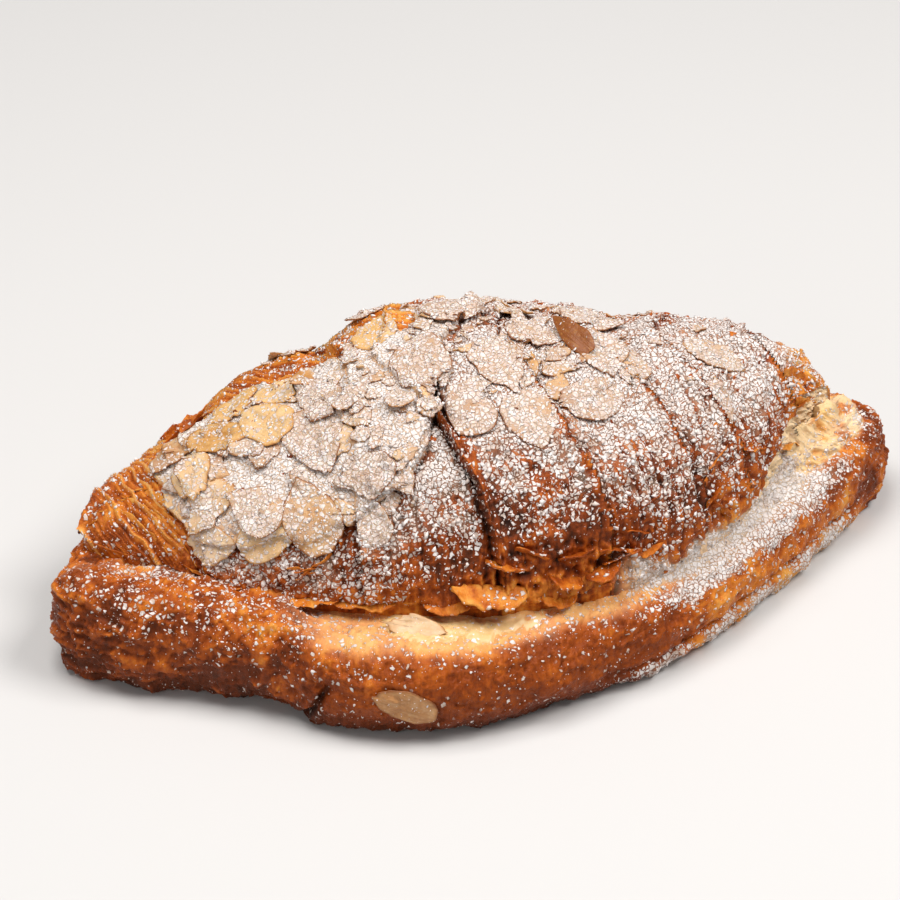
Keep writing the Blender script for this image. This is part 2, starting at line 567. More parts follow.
def lower_half(material):
    grid, turn, inward, bed_x = rim_base()
    x, y, level = (grid[..., k] for k in range(3))
    rough, cloudy, creased = (partial(kind, grid) for kind in (noise, fractal, creases))
    facing = partial(outward, probe=(0, RIM_OUTER // 2), way=-np.append(inward[0], 0), closed_rows=True)
    along = distance_along(grid)

    # Where each feature lies
    front = step(4, -6, y)
    back = 1 - front
    crown = step(30, 80, turn)
    top = step(58, 92, turn + 14 * rough(7, 136))
    middle = bump(0, 40, turn)
    lumps, dents, crinkle, blisters, flakes = texture(grid, *RIM_TEXTURE)
    streaks = creases(np.stack([along / 1.0, turn / 55, x * 0], axis=-1), 1.0, 113)
    below = level - (6.2 + 0.8 * rough(16, 116) + 0.02 * (x - 40))
    folded = front * within(6, 24, 74, 84, x)
    groove = folded * bump(0, 0.8, below) * np.clip(0.8 + 0.5 * rough(8, 117), 0.2, 1.2) * step(90, 60, turn)
    lobe = step(-38, -48, x) * front
    seam = bump(0, 0.9, x + 42.5 - 0.35 * (level - 6) + 0.8 * rough(5, 138)) * step(14, 8, level) * front
    left_lobe = step(-66, -76, x) * step(16, 8, y)
    right_part = step(24, 46, x) * front
    right_end = step(60, 72, x)
    layers = sawtooth((level + 0.25 * x + 0.9 * rough(7, 118) + 0.3 * rough(2.5, 119)) / 2.0)
    near, number = cells(grid, 2.4, 121)
    crumb = step(84, 108, turn + 16 * rough(5, 137)) * step(46, 54, x) * step(24, 14, y)
    pores = step(0.36, 0.14, near) * (number > -0.2) * crumb
    hollow = crumb * bump(0, 3.2, np.hypot(x - 67, y - 6))
    strands = creases(np.stack([along / 1.1 + 0.6 * rough(3, 151), turn / 40, x * 0], axis=-1), 1.0, 114)
    toasted = step(0.0, 0.5, cloudy(5, 149))
    powdered = step(14, 34, x) * front * (1 - right_end)
    patches = cloudy(7, 130)

    # How far each raises or lowers the skin, in millimetres
    relief = 0.75 * lumps + (0.5 + 0.25 * lobe) * dents + 0.12 * crinkle * (1 + 0.5 * lobe) + 0.35 * blisters
    relief += 0.28 * flakes + 0.30 * lobe * creased(5.5, 148) + 0.14 * streaks * back
    relief += 0.16 * streaks * within(-46, -36, 14, 34, x) * front * step(175, 130, turn)
    relief += 0.6 * layers * left_lobe * step(75, 45, turn) + 0.35 * layers * back * step(100, 60, turn)
    relief += 0.7 * folded * step(0.4, -0.4, below) - 2.0 * groove - 1.7 * seam
    relief -= 0.9 * bump(0, 3.0, np.hypot(x + 42, level - 11)) * front
    ragged = 0.08 * strands + 0.55 * creased(2.4, 139) + 0.5 * cloudy(5, 152, 2)
    relief += crumb * (ragged - 0.9 * pores) - 0.8 * hollow
    relief += 0.9 * right_end * step(20, 60, turn) * step(170, 120, turn)
    relief *= step(-90, -62, turn) * (1 - 0.4 * step(150, 180, turn))
    moved = grid + facing(grid) * relief[..., None]
    moved[..., 2] = np.maximum(moved[..., 2], 0.0)
    slope = facing(moved)

    # How far each is baked: 0 is raw and 1 is nearly black
    bake = 0.61 + (0.13 + 0.09 * lobe) * patches + 0.05 * cloudy(3.2, 131, 2) - 0.07 * crinkle - 0.06 * dents
    bake += (0.10 + 0.08 * back) * middle + (0.10 - 0.10 * crown) * lobe - (0.08 - 0.20 * patches) * right_end
    bake -= 0.40 * top * step(-44, -34, x) * (1 - right_end)
    bake -= 0.24 * right_part * step(70, 10, turn) * (1 - 0.6 * right_end)
    bake += 0.05 * left_lobe * step(10, -30, turn) + 0.05 * within(-42, -34, 16, 30, x) * front
    bake += 0.14 * groove + 0.38 * step(4, -60, turn) * step(40, 10, x) * (1 - 0.6 * lobe)
    bake -= 0.16 * folded * step(0.2, -0.6, below) + 0.14 * layers * left_lobe + 0.12 * flakes * lobe
    bake += 0.5 * bump(0, 1.6, np.linalg.norm(grid - np.array([-77, 3, 19]), axis=-1))
    low_front = step(-8, -55, turn) * step(40, 10, x) * front
    bake = np.minimum(bake, 0.68 + 0.14 * np.maximum(lobe, back))
    bake = bake + 0.24 * seam + 0.18 * low_front * (1 - 0.7 * lobe)
    bake -= crumb * (0.46 - 0.28 * toasted + 0.06 * strands) - 0.10 * pores

    # Share of it under icing sugar
    sugar = 0.06 + 0.07 * step(0.1, 0.8, slope[..., 2]) + 0.06 * rough(6, 132) + 0.12 * crown * front
    sugar += (0.16 * step(-5, 40, turn) * step(-80, -68, x) + 0.25 * crown * step(110, 150, turn)) * lobe
    banks = 0.72 * step(25, 62, turn + 22 * rough(6, 133)) + 1.0 * step(88, 108, turn)
    sugar += powdered * banks * (1 + 0.5 * rough(4.5, 147))
    sugar += 0.90 * folded * step(0.2, -0.5, below) * step(-85, -60, turn) * (0.7 + 0.6 * rough(5, 134))
    sugar += 0.14 * right_part + 0.5 * right_end * crown * (0.7 + 1.3 * rough(4, 135))
    crumb_bare = crumb * step(48, 56, x) * step(0.3, -0.3, rough(5, 150))
    sugar *= step(-84, -60, turn) * (1 - 0.6 * crumb_bare) * (1 - 0.5 * groove)
    sugar -= 0.03 * back

    pale = crumb * (0.75 + 0.4 * rough(5, 140)) * (1 - 0.8 * toasted) + 0.24 * top * (1 - lobe) * front
    pale = np.maximum(pale, 0.9 * powdered * step(84, 108, turn))

    def with_under(values, fill):
        return np.concatenate([np.full((RIM_ROWS, RIM_UNDER), fill), values], axis=1)

    centre = np.stack([bed_x, np.full_like(bed_x, BED_Y), np.zeros_like(bed_x)], axis=-1)[:, None]
    shares = np.linspace(0.15, 1, RIM_UNDER + 1)[:-1][None, :, None]
    under = centre * (1 - shares) + (moved[:, 0] * np.array([1, 1, 0]))[:, None] * shares
    points = np.concatenate([under, moved], axis=1)
    normals = np.concatenate([np.zeros_like(under) - UP, slope], axis=1)
    fields = looks(*(
        with_under(values, fill)
        for values, fill in ((bake, 0.6), (sugar, 0.0), (pale, 0.0), (along, 0.0), (turn * 0.15, 0.0))
    ))
    half = RIM_ROWS // 2
    groups = [np.arange(0, half + 1), np.append(np.arange(half, RIM_ROWS), 0)]
    pieces = grid_pieces("lower_half_crust", points, normals, fields, material, groups)
    return [belongs(obj, "rim_crust", "lower_half") for obj in pieces]


# ---------------------------------------------------------------- almond cream

# Where the filling shows between the halves: x from, to, at the front and at the back
CREAM_SHOWS_FRONT, CREAM_SHOWS_BACK = (-34.0, 44.0), (-46.0, 40.0)
# The strip's section: distance in from the rim's crest and height over the shelf
CREAM_SECTION = np.array([
    (0.2, -1.6), (0.5, -0.4), (1.1, 0.5), (2.0, 1.05), (3.2, 1.35), (4.6, 1.4), (6.5, 1.3), (9.0, 1.0),
])
CREAM_COLUMNS = 40


def almond_cream(material):
    """The filling, bulging a little between the halves."""
    x, y, width, height = rim_outline()
    inward, _ = way_in(x, y)
    stops = np.arange(len(CREAM_SECTION))
    fine = np.linspace(0, stops[-1], CREAM_COLUMNS)
    setback, rise = (np.interp(fine, stops, column) for column in CREAM_SECTION.T)
    low, high = (np.where(y < 0, *ends) for ends in zip(CREAM_SHOWS_FRONT, CREAM_SHOWS_BACK))
    hidden = 1 - (step(0, 9, x - low) * step(0, 9, high - x))[:, None]
    distance = width[:, None] / 2 + 1.2 * hidden + setback
    level = shelf_level(height)[:, None] + rise - 2.6 * hidden
    grid = from_outline(x, y, inward, distance, level)
    rough, cloudy = partial(noise, grid), partial(fractal, grid)
    relief = 0.50 * cloudy(7, 141) + 0.20 * creases(grid, 3.0, 142)
    moved = grid + outward(grid, (0, -1), closed_rows=True) * relief[..., None]
    slope = outward(moved, (0, -1), closed_rows=True)
    fields = {
        "bake": 0.08 + 0.20 * cloudy(5, 143, 2) + 0.10 * rough(1.6, 144),
        "sugar": 0.20 + 0.20 * rough(4, 145) + (0.8 + 0.3 * rough(3.5, 147)) * step(12, 24, x)[:, None],
        "pale": 0.3 + 0.5 * rough(6, 146),
    }
    fields = {name: np.clip(values, 0, 1) for name, values in fields.items()}
    numbers = np.arange(RIM_ROWS * CREAM_COLUMNS).reshape(RIM_ROWS, CREAM_COLUMNS)
    ends = [numbers[::-1, 0].tolist(), numbers[:, -1].tolist()]
    faces = grid_faces(RIM_ROWS, CREAM_COLUMNS, True, False)
    obj = new_mesh("almond_cream_filling", moved, faces, fields, material, ends, True, slope)
    return belongs(obj, "almond_cream", "almond_cream")


# ---------------------------------------------------------------- sliced almonds

SLICE_THICKNESS, SLICE_RIM = 0.40, 0.04
SLICE_GRID, LOOSE_GRID = (9, 60), (4, 34)  # rings and spokes
SUNK = 0.15  # how far a slice is set into what it lies on
STANDING_SHARE = 0.3  # of the loose slices stand off what they lie on
NEAR_ENOUGH = 22  # how far away a slice may be and still be one that the next can lie on
# Slices that stayed bare of sugar, by number, and the share of sugar that they carry
BARE_SLICES = {
    1: 0.62, 2: 0.7, 3: 0.45, 4: 0.55, 6: 0.7, 11: 0.6, 12: 0.45, 13: 0.5, 14: 0.5, 15: 0.6, 24: 0.5,
    26: 0.10, 29: 0.12, 34: 0.10,
}
YELLOW_SLICES = {4: 0.5, 12: 0.8, 13: 0.7, 14: 1.0, 15: 0.9, 24: 0.8, 26: 1.0}
TOASTED_SLICES = {26: 0.82, 29: 0.48}
UPRIGHT_SLICE, UPRIGHT_WIDTH = 26, 4.8
# Further slices and pieces of slices: where they lie (x from, to, degrees round from, to) and how many
LOOSE_AREAS = [(-59, -16, 34, 97, 82), (-14, 26, 66, 118, 88), (-38, 44, 116, 150, 18), (30, 56, 60, 118, 4)]


def surface_tree(obj):
    mesh = obj.data
    return BVHTree.FromPolygons([v.co for v in mesh.vertices], [p.vertices for p in mesh.polygons])


def trees_near(trees, point):
    """The trees whose centre is near the point, and those of the large pieces, which have none."""
    return [tree for centre, tree in trees if centre is None or np.linalg.norm(centre - point) < NEAR_ENOUGH]


def height_under(trees, point, up, reach=12 * MM):
    """How far below or above the point the topmost surface lies, along up, or None."""
    hits = (tree.ray_cast(point + up * reach, -up, 2.5 * reach)[0] for tree in trees)
    return max(((hit - point).dot(up) for hit in hits if hit is not None), default=None)


def ripple(rng, turn, strengths):
    """Waves round an outline, each of random height and phase. strengths gives the spread for each count."""
    return sum(rng.normal(0, spread) * np.cos(k * turn + rng.uniform(0, 6.3)) for k, spread in strengths)


def slice_outline(rng, spokes, chips, deepest):
    """Points round a pointed oval of half length and half width 1, with chipped and broken sides."""
    turn = np.linspace(0, 2 * math.pi, spokes, endpoint=False)
    point = rng.uniform(0.5, 1.15)
    u, v = np.cos(turn), np.sin(turn) * np.abs(np.sin(turn / 2)) ** point
    v = v / np.abs(v).max()
    waves = 1 + ripple(rng, turn, [(k, 0.03 / math.sqrt(k)) for k in range(2, 12)])
    u, v = u * waves, v * waves
    for _ in range(chips):
        side = rng.uniform(0, 2 * math.pi)
        jagged = ripple(rng, turn, [(k, 0.022) for k in range(5, 14)])
        reach = rng.uniform(deepest, 0.9) + jagged
        past = np.maximum(0, u * math.cos(side) + v * math.sin(side) - reach)
        u, v = u - past * math.cos(side), v - past * math.sin(side)
    return u, v


def slice_faces(rings, spokes, count):
    """Faces of a flat closed piece: a fan and rings of quads above and below, joined round the edge."""
    faces = []
    for k in range(spokes):
        j = (k + 1) % spokes
        faces.append([0, 1 + k, 1 + j])
        faces.append([count, count + 1 + j, count + 1 + k])
        for ring in range(rings - 1):
            a, b = 1 + ring * spokes, 1 + (ring + 1) * spokes
            faces.append([a + k, b + k, b + j, a + j])
            faces.append([count + a + k, count + a + j, count + b + j, count + b + k])
        last = 1 + (rings - 1) * spokes
        faces.append([last + k, count + last + k, count + last + j, last + j])
    return faces


def laid(flat, middle, up, trees, conform, upright):
    """The middle surface of a slice set down: bent over what it lies on, or stood on its edge."""
    if upright:
        flat = flat + np.outer(middle, up)
        heights = [height_under(trees, Vector(point * MM), Vector(UP)) for point in flat]
        return flat + UP * (max(height for height in heights if height is not None) / MM - 2 * SUNK)
    under = np.array([height_under(trees, Vector(point * MM), Vector(up)) or 0.0 for point in flat]) / MM
    under = np.clip(under, np.median(under) - 2.0, np.median(under) + 2.0)
    lift = np.percentile(under - middle, 78) - SUNK + SLICE_THICKNESS / 2
    rise = (1 - conform) * (middle + lift) + conform * (under + SLICE_THICKNESS / 2)
    return flat + np.outer(np.maximum(rise, under - 0.1), up)


def slice_mesh(rng, centre, axes, size, trees, grid, chips, deepest=0.66, conform=0.6, upright=False):
    """Points, faces and each point's edge share, place along and across one slice."""
    rings_wanted, spokes = grid
    along, across, up = axes
    rings = np.sin(np.linspace(0, 1, rings_wanted + 1)[1:] * math.pi / 2)
    outline = slice_outline(rng, spokes, chips, deepest)
    u, v = (np.append(e.mean(), (e.mean() + (e - e.mean()) * rings[:, None]).ravel()) for e in outline)
    edge = np.append(0.0, np.repeat(rings, spokes))
    warp = rng.normal(0, 0.5, 3)
    middle = u**2 * rng.choice([-0.8, -0.4, 0.3, 0.7]) + 0.4 * warp[0] * u * v + 0.4 * warp[1] * v**2
    middle = middle + 0.12 * np.sin(u * 5 + warp[2] * 4) * np.cos(v * 4)
    u, v = u * size[0] / 2, v * size[1] / 2
    flat = laid(centre + np.outer(u, along) + np.outer(v, across), middle, up, trees, conform, upright)
    thick = np.outer(SLICE_THICKNESS / 2 * np.sqrt(np.maximum(0, 1 - edge**10)) + SLICE_RIM, up)
    faces = slice_faces(rings_wanted, spokes, len(flat))
    return np.concatenate([flat + thick, flat - thick]), faces, [np.tile(place, 2) for place in (edge, u, v)]


def packed_slice(node):
    """Centre, axes, length and width of a packed slice. The first axis runs to its point."""
    corners = np.array([v.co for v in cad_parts[node].data.vertices]) / MM
    centre = (corners.max(axis=0) + corners.min(axis=0)) / 2
    axes = np.linalg.svd(corners - corners.mean(axis=0), full_matrices=False)[2]
    along, _, up = axes
    local = (corners - centre) @ axes.T
    reach = np.abs(local[:, 0]).max()
    widths = [np.abs(local[side * local[:, 0] > 0.5 * reach, 1]).max() for side in (1, -1)]
    if widths[0] > widths[1]:
        along = -along
    if up @ (centre - np.array([centre[0], 3.0, LID_UNDERSIDE])) < 0:
        up = -up
    return centre, (along, np.cross(up, along), up), (np.ptp(local[:, 0]), np.ptp(local[:, 1]))


def slice_fields(rng, points, places, share, yellow, toasted=0.0):
    """Toasting at the edge, yellowness and sugar on the top of one slice."""
    edge, along, across = places
    toast = 0.16 + 0.42 * rng.random() ** 1.6 + 0.46 * step(0.90, 1.0, edge)
    toast += 0.20 * fractal(points, 4, 150, 2)
    sugar = share * (0.95 + 0.35 * fractal(points, 5, 151, 2)) * step(1.04, 0.94, edge)
    sugar[len(points) // 2:] = 0
    return looks(toast + toasted + 0.22 * (share > 0.7), sugar, np.full(len(points), yellow), across, along)


def sliced_almonds(trees, material):
    """Each packed slice again, finer."""
    rng = np.random.default_rng(SEED)
    made = []
    nodes = sorted(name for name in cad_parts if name.startswith("almond_") and name[7:].isdigit())
    for number, node in enumerate(nodes + ["cream_almond"], start=1):
        centre, axes, size = packed_slice(node)
        upright = number == UPRIGHT_SLICE
        if upright:
            downhill = -math.copysign((size[1] - UPRIGHT_WIDTH) / 2, axes[1][2])
            centre, size = centre + axes[1] * downhill, (size[0], UPRIGHT_WIDTH)
        near = trees_near(trees, centre)
        points, faces, places = slice_mesh(
            rng, centre, axes, size, near, SLICE_GRID, rng.integers(0, 3), upright=upright
        )
        yellow = YELLOW_SLICES.get(number, 0.35 * rng.random())
        share, toasted = BARE_SLICES.get(number, 1.0), TOASTED_SLICES.get(number, 0.0)
        fields = slice_fields(rng, points, places, share, yellow, toasted)
        obj = belongs(new_mesh(f"{node}_slice", points, faces, fields, material), "sliced_almond", node)
        trees.append((centre, surface_tree(obj)))
        made.append(obj)
    return made


def lid_place(x, around):
    """A point on the smooth upper half and the way out of it."""
    turn = math.radians(around)
    y, z, _ = (float(v[0]) for v in lid_section(np.array([float(x)]), np.array([turn])))
    front, back = (float(profile(stops, np.array([float(x)]))[0]) for stops in (FRONT_STOPS, BACK_STOPS))
    out = np.array([0, y - (front + back) / 2, (z - LID_UNDERSIDE) * 1.15])
    return np.array([x, y, z]), out / np.linalg.norm(out)


def loose_axes(rng, out, heading, tilt):
    """Axes of a loose slice that lies nearly flat, with the way out as its last."""
    up = out + rng.normal(0, tilt, 3)
    up /= np.linalg.norm(up)
    first = np.array([math.cos(heading), math.sin(heading), 0])
    along = first - up * (first @ up)
    along /= np.linalg.norm(along)
    return along, np.cross(up, along), up


def loose_slices(trees, material):
    """Further slices and broken pieces of slices, in one mesh."""
    rng = np.random.default_rng(SEED + 1)
    points, faces, fields, start = [], [], [], 0
    for low_x, high_x, low_turn, high_turn, count in LOOSE_AREAS:
        for _ in range(count):
            place, out = lid_place(rng.uniform(low_x, high_x), rng.uniform(low_turn, high_turn))
            near = trees_near(trees, place)
            heading = rng.uniform(0, 2 * math.pi)
            tilt, conform = (0.30, 0.15) if rng.random() < STANDING_SHARE else (0.08, 0.6)
            axes = loose_axes(rng, out, heading, tilt)
            size = (1.8 + 8.6 * rng.random() ** 1.4) * np.array([1, rng.uniform(0.5, 0.85)])
            chips = rng.integers(1, 4)
            made, quads, places = slice_mesh(rng, place, axes, size, near, LOOSE_GRID, chips, 0.1, conform)
            share, yellow = rng.choice([0.6, 0.85, 1.0, 1.1]), 0.6 * rng.random() ** 1.6
            fields.append(slice_fields(rng, made, places, share, yellow))
            points.append(made)
            faces += [[start + corner for corner in face] for face in quads]
            start += len(made)
            trees.append((place, BVHTree.FromPolygons([Vector(p * MM) for p in made], quads)))
    joined = {name: np.concatenate([f[name] for f in fields]) for name in fields[0]}
    loose = new_mesh("loose_almonds", np.concatenate(points), faces, joined, material)
    return belongs(loose, "sliced_almond")


# ---------------------------------------------------------------- torn sheets of pastry

SHEET_ALONG, SHEET_ACROSS, THIN_SHEET = 40, 9, 0.3
# Torn sheets: x from, to, degrees round from, to, reach, degrees that they lean up, curl, browning, thickness
TORN_SHEETS = [
    (-15, -1.5, 6, 3, 4.6, -40, 1.0, 0.34, 1.0), (-8.5, -2, 13, 9, 2.4, -10, 0.8, 0.48, 0.8),
    (-3, 3, 16, 12, 1.6, 10, 0.6, 0.60, 0.6), (3, 9, 6, 3, 3.4, -15, 0.8, 0.50, 0.7),
    (5, 12, 11, 12, 1.9, -5, 0.7, 0.66, 0.5), (10, 17, 4, 7, 2.8, -20, 0.6, 0.56, 0.5),
    (2, 8, 1, -3, 2.8, -30, 0.5, 0.42, 0.5), (13, 21, 12, 8, 1.8, 25, -0.4, 0.60, 0.4),
    (-20, -12, 0, 1, 2.8, -25, 0.4, 0.48, 0.5), (-52, -35, -5, -9, 3.2, -14, 0.6, 0.40, 0.4),
    (-61, -50, 2, -4, 2.6, 10, 0.4, 0.42, 0.4), (-36, -25, -6, -9, 2.4, -22, 0.5, 0.38, 0.4),
    (64, 71, 30, 14, 2.4, 20, 0.5, 0.34, 0.4), (62, 70, 58, 44, 2.2, 30, -0.5, 0.38, 0.4),
    (56, 66, 12, -2, 2.6, -10, 0.4, 0.26, 0.4), (66, 72, 74, 60, 2.0, 25, 0.4, 0.42, 0.4),
]
RIDGE_SHEETS, RIDGE_START, RIDGE_APART, RIDGE_SHIFT, RIDGE_REACH = 8, -76.0, 1.9, 11.5, 0.8
SMALL_SHEETS = 40
SMALL_SHEET_AREAS = [
    (-63, -46, 114, 150), (60, 68, 20, 100), (-60, 50, 140, 172), (-46, 40, 4, 16), (22, 48, 8, 30),
]


def sheet(x_span, around_span, reach, lean, curl, thickness, seed):
    """Ring of points for each step along one thin torn sheet that leaves the upper half."""
    t = np.linspace(0, 1, SHEET_ALONG)
    share = np.linspace(0, 1, SHEET_ACROSS)[None, :]
    x_path = np.clip(np.linspace(*x_span, SHEET_ALONG), LID_LEFT + 0.4, LID_RIGHT - 0.4)
    x_path += np.linspace(0, 0.2, SHEET_ALONG)
    found = [lid_place(x, around) for x, around in zip(x_path, np.linspace(*around_span, SHEET_ALONG))]
    path, out = (np.array([pair[k] for pair in found]) for k in (0, 1))
    along = np.gradient(path, axis=0)
    along /= np.linalg.norm(along, axis=1, keepdims=True)
    up = np.cross(along, out)
    up *= np.where(up[:, 2:] < 0, -1, 1)
    turn = math.radians(lean)
    leave, rise = out * math.cos(turn) + up * math.sin(turn), up * math.cos(turn) - out * math.sin(turn)
    ragged = 1 + (0.40 - 0.22 * thickness) * fractal(path, 2.6, seed)
    extent = reach * np.sin(math.pi * np.clip(t, 0.01, 0.99)) ** 0.35 * ragged
    lift = curl * share**2 + 0.7 * share * fractal(path, 4.5, seed + 50)[:, None]
    reached = (extent[:, None] + 0.8) * share
    middle = (path - out * 0.8)[:, None] + leave[:, None] * reached[..., None]
    middle += rise[:, None] * lift[..., None]
    middle += 0.16 * fractal(middle, 1.8, seed + 90)[..., None]
    thick = outward(middle) * (thickness / 2 * (1 - 0.6 * share**2)[..., None])
    return np.concatenate([middle + thick, (middle - thick)[:, ::-1]], axis=1)


def sheet_rings(rng):
    """The points of every torn sheet, and how far each is baked."""
    for number, (low, high, start, end, reach, lean, curl, bake, thickness) in enumerate(TORN_SHEETS):
        yield sheet((low, high), (start, end), reach, lean, curl, thickness, 160 + number), bake
    for number in range(RIDGE_SHEETS):
        x = RIDGE_START + RIDGE_APART * number
        lean = rng.uniform(20, 60)
        ring = sheet((x, x + RIDGE_SHIFT), (88, 4), RIDGE_REACH, lean, 0.2, THIN_SHEET, 300 + number)
        yield ring, rng.uniform(0.22, 0.46)
    for number in range(SMALL_SHEETS):
        low, high, start, end = SMALL_SHEET_AREAS[number % len(SMALL_SHEET_AREAS)]
        x, around = rng.uniform(low, high), rng.uniform(start, end)
        spans = (x, x + rng.uniform(3, 8)), (around, around + rng.uniform(-12, 12))
        reach, lean, curl = (rng.uniform(*span) for span in ((0.8, 1.9), (-20, 60), (-0.5, 0.5)))
        yield sheet(*spans, reach, lean, curl, THIN_SHEET, 200 + number), rng.uniform(0.30, 0.62)


def torn_sheets(material):
    rings, bakes = zip(*sheet_rings(np.random.default_rng(SEED + 7)))
    columns = 2 * SHEET_ACROSS
    faces = []
    for start in range(0, len(rings) * SHEET_ALONG * columns, SHEET_ALONG * columns):
        first = range(start, start + columns)
        faces += (grid_faces(SHEET_ALONG, columns, False, True) + start).tolist()
        faces += [list(first), [corner + (SHEET_ALONG - 1) * columns for corner in first[::-1]]]
    points = np.concatenate(rings).reshape(-1, 3)
    bake = np.repeat(bakes, SHEET_ALONG * columns) + 0.16 * fractal(points, 3, 190, 2)
    dust = 0.10 + 0.3 * noise(points, 5, 191)
    fields = looks(bake, dust, np.zeros(len(points)), points[:, 0], points[:, 2])
    return belongs(new_mesh("torn_pastry_sheets", points, faces, fields, material), "crust")


# ---------------------------------------------------------------- icing sugar

CLUMP_DENSITY, CLUMP_POWER, CLUMP_GAP, CLUMP_LIMIT = 3.4, 2.0, 0.62, 13500
CLUMP_RADIUS = {"upper": (0.16, 0.64), "lower": (0.11, 0.42), "almonds": (0.13, 0.52)}
GRAIN_DENSITY, GRAIN_POWER, GRAIN_RADIUS = 1.7, 0.7, (0.06, 0.18)
CRUMBS, CRUMB_DENSITY, CRUMB_POWER, CRUMB_RADIUS = 240, 0.1, 2.0, (0.2, 0.75)
LARGEST_FACE = 40  # square millimetres: the flat ends of pieces are larger, and carry no sugar
FLAKE_SIDES = 7
FLAKE_FACES = np.array(
    [(k, (k + 1) % FLAKE_SIDES, FLAKE_SIDES) for k in range(FLAKE_SIDES)]
    + [((k + 1) % FLAKE_SIDES, k, FLAKE_SIDES + 1) for k in range(FLAKE_SIDES)]
)
GRAIN_CORNERS = np.array([(1, 0, 0), (-1, 0, 0), (0, 1, 0), (0, -1, 0), (0, 0, 1), (0, 0, -1)], float)
GRAIN_FACES = np.array([
    (0, 2, 4), (2, 1, 4), (1, 3, 4), (3, 0, 4), (2, 0, 5), (1, 2, 5), (3, 1, 5), (0, 3, 5),
])


def flake_shapes(count, rng):
    """Corners of ragged flat flakes of about unit radius."""
    turn = 2 * math.pi * (np.arange(FLAKE_SIDES) + rng.uniform(-0.3, 0.3, (count, FLAKE_SIDES))) / FLAKE_SIDES
    reach = rng.uniform(0.4, 1.3, turn.shape)
    height = rng.uniform(-0.08, 0.12, turn.shape)
    edge = np.stack([np.cos(turn) * reach, np.sin(turn) * reach, height], axis=-1)
    tips = rng.uniform(-0.2, 0.2, (count, 2, 3))
    tips[:, 0, 2] = rng.uniform(0.10, 0.26, count)
    tips[:, 1, 2] = -0.2
    return np.concatenate([edge, tips], axis=1)


def grain_shapes(count, rng):
    """Corners of small rough grains of about unit radius."""
    corners = GRAIN_CORNERS * rng.uniform(0.6, 1.3, (count, len(GRAIN_CORNERS), 1))
    return corners * rng.uniform(0.7, 1.2, (count, 1, 3))


def read(data, name, columns, kind):
    """One property of every item of a Blender collection, as an array with that many columns."""
    values = np.zeros(len(data) * columns, kind)
    data.foreach_get(name, values)
    return values.reshape(-1, columns)


def sugar_places(obj, density, power, rng):
    """Random points on the object, and the normals there, fewer where its sugar field is low."""
    mesh = obj.data
    mesh.calc_loop_triangles()
    triangles = read(mesh.loop_triangles, "vertices", 3, int)
    sugar = read(mesh.attributes["sugar"].data, "value", 1, np.float32)[:, 0]
    a, b, c = (read(mesh.vertices, "co", 3, float) / MM)[triangles].swapaxes(0, 1)
    normal = np.cross(b - a, c - a)
    length = np.linalg.norm(normal, axis=1)
    normal = normal / np.maximum(length[:, None], 1e-12)
    weight = length / 2 * sugar[triangles].mean(axis=1) ** power
    weight[length / 2 > LARGEST_FACE] = 0
    total = np.cumsum(weight)
    count = int(total[-1] * density)
    pick = np.searchsorted(total, rng.random(count) * total[-1])
    r1, r2 = np.sqrt(rng.random(count))[:, None], rng.random(count)[:, None]
    return (1 - r1) * a[pick] + r1 * (1 - r2) * b[pick] + r1 * r2 * c[pick], normal[pick]


def all_places(sources, *settings):
    """sugar_places of several objects, joined."""
    return [np.concatenate(part) for part in zip(*(sugar_places(obj, *settings) for obj in sources))]


def spaced(place, gap):
    """Which of the points stay when any that lie closer than gap to an earlier one go."""
    taken, kept = {}, []
    home = np.floor(place / gap).astype(int)
    for number, (point, cell) in enumerate(zip(place.tolist(), home.tolist())):
        around = product(*((k - 1, k, k + 1) for k in cell))
        near = (other for beside in around for other in taken.get(beside, ()))
        x, y, z = point
        if all((x - p) ** 2 + (y - q) ** 2 + (z - r) ** 2 > gap * gap for p, q, r in near):
            taken.setdefault(tuple(cell), []).append(point)
            kept.append(number)
    return np.array(kept)


def frames(normal, rng):
    """For each normal a turned set of axes whose last is the normal."""
    first = np.cross(normal, rng.normal(size=normal.shape))
    first /= np.linalg.norm(first, axis=1, keepdims=True)
    return np.stack([first, np.cross(normal, first), normal], axis=1)


def scatter(name, place, normal, rng, shapes, faces, radius, material, smooth=False):
    """Small shapes of mixed size set on the places."""
    count = len(place)
    size = radius[0] + (radius[1] - radius[0]) * rng.random(count) ** 1.7
    axes = frames(normal + rng.normal(0, 0.24, normal.shape), rng)
    shape = np.einsum("nvi,nij->nvj", shapes(count, rng) * size[:, None, None], axes)
    points = (place + normal * size[:, None] * 0.06)[:, None] + shape
    corners = shape.shape[1]
    triangles = (np.arange(count)[:, None, None] * corners + faces[None]).reshape(-1, 3)
    shade = np.repeat(rng.random(count), corners)
    return belongs(new_mesh(name, points, triangles, {"pale": shade}, material, (), smooth), "crust")


def sugar(upper, lower, almonds, material):
    """Flat clumps of icing sugar about a millimetre wide, and loose grains between them."""
    rng = np.random.default_rng(SEED + 2)
    for name, sources in (("upper", upper), ("lower", lower), ("almonds", almonds)):
        place, normal = all_places(sources, CLUMP_DENSITY, CLUMP_POWER, rng)
        order = rng.permutation(len(place))
        place, normal = place[order], normal[order]
        kept = spaced(place, CLUMP_GAP)
        for part, some in enumerate(np.array_split(kept, math.ceil(len(kept) / CLUMP_LIMIT)), start=1):
            scatter(f"sugar_clumps_{name}_{part}", place[some], normal[some], rng, flake_shapes, FLAKE_FACES,
                    CLUMP_RADIUS[name], material, True)
        place, normal = all_places(sources, GRAIN_DENSITY, GRAIN_POWER, rng)
        scatter(f"sugar_grains_{name}", place, normal, rng, grain_shapes, GRAIN_FACES, GRAIN_RADIUS, material)


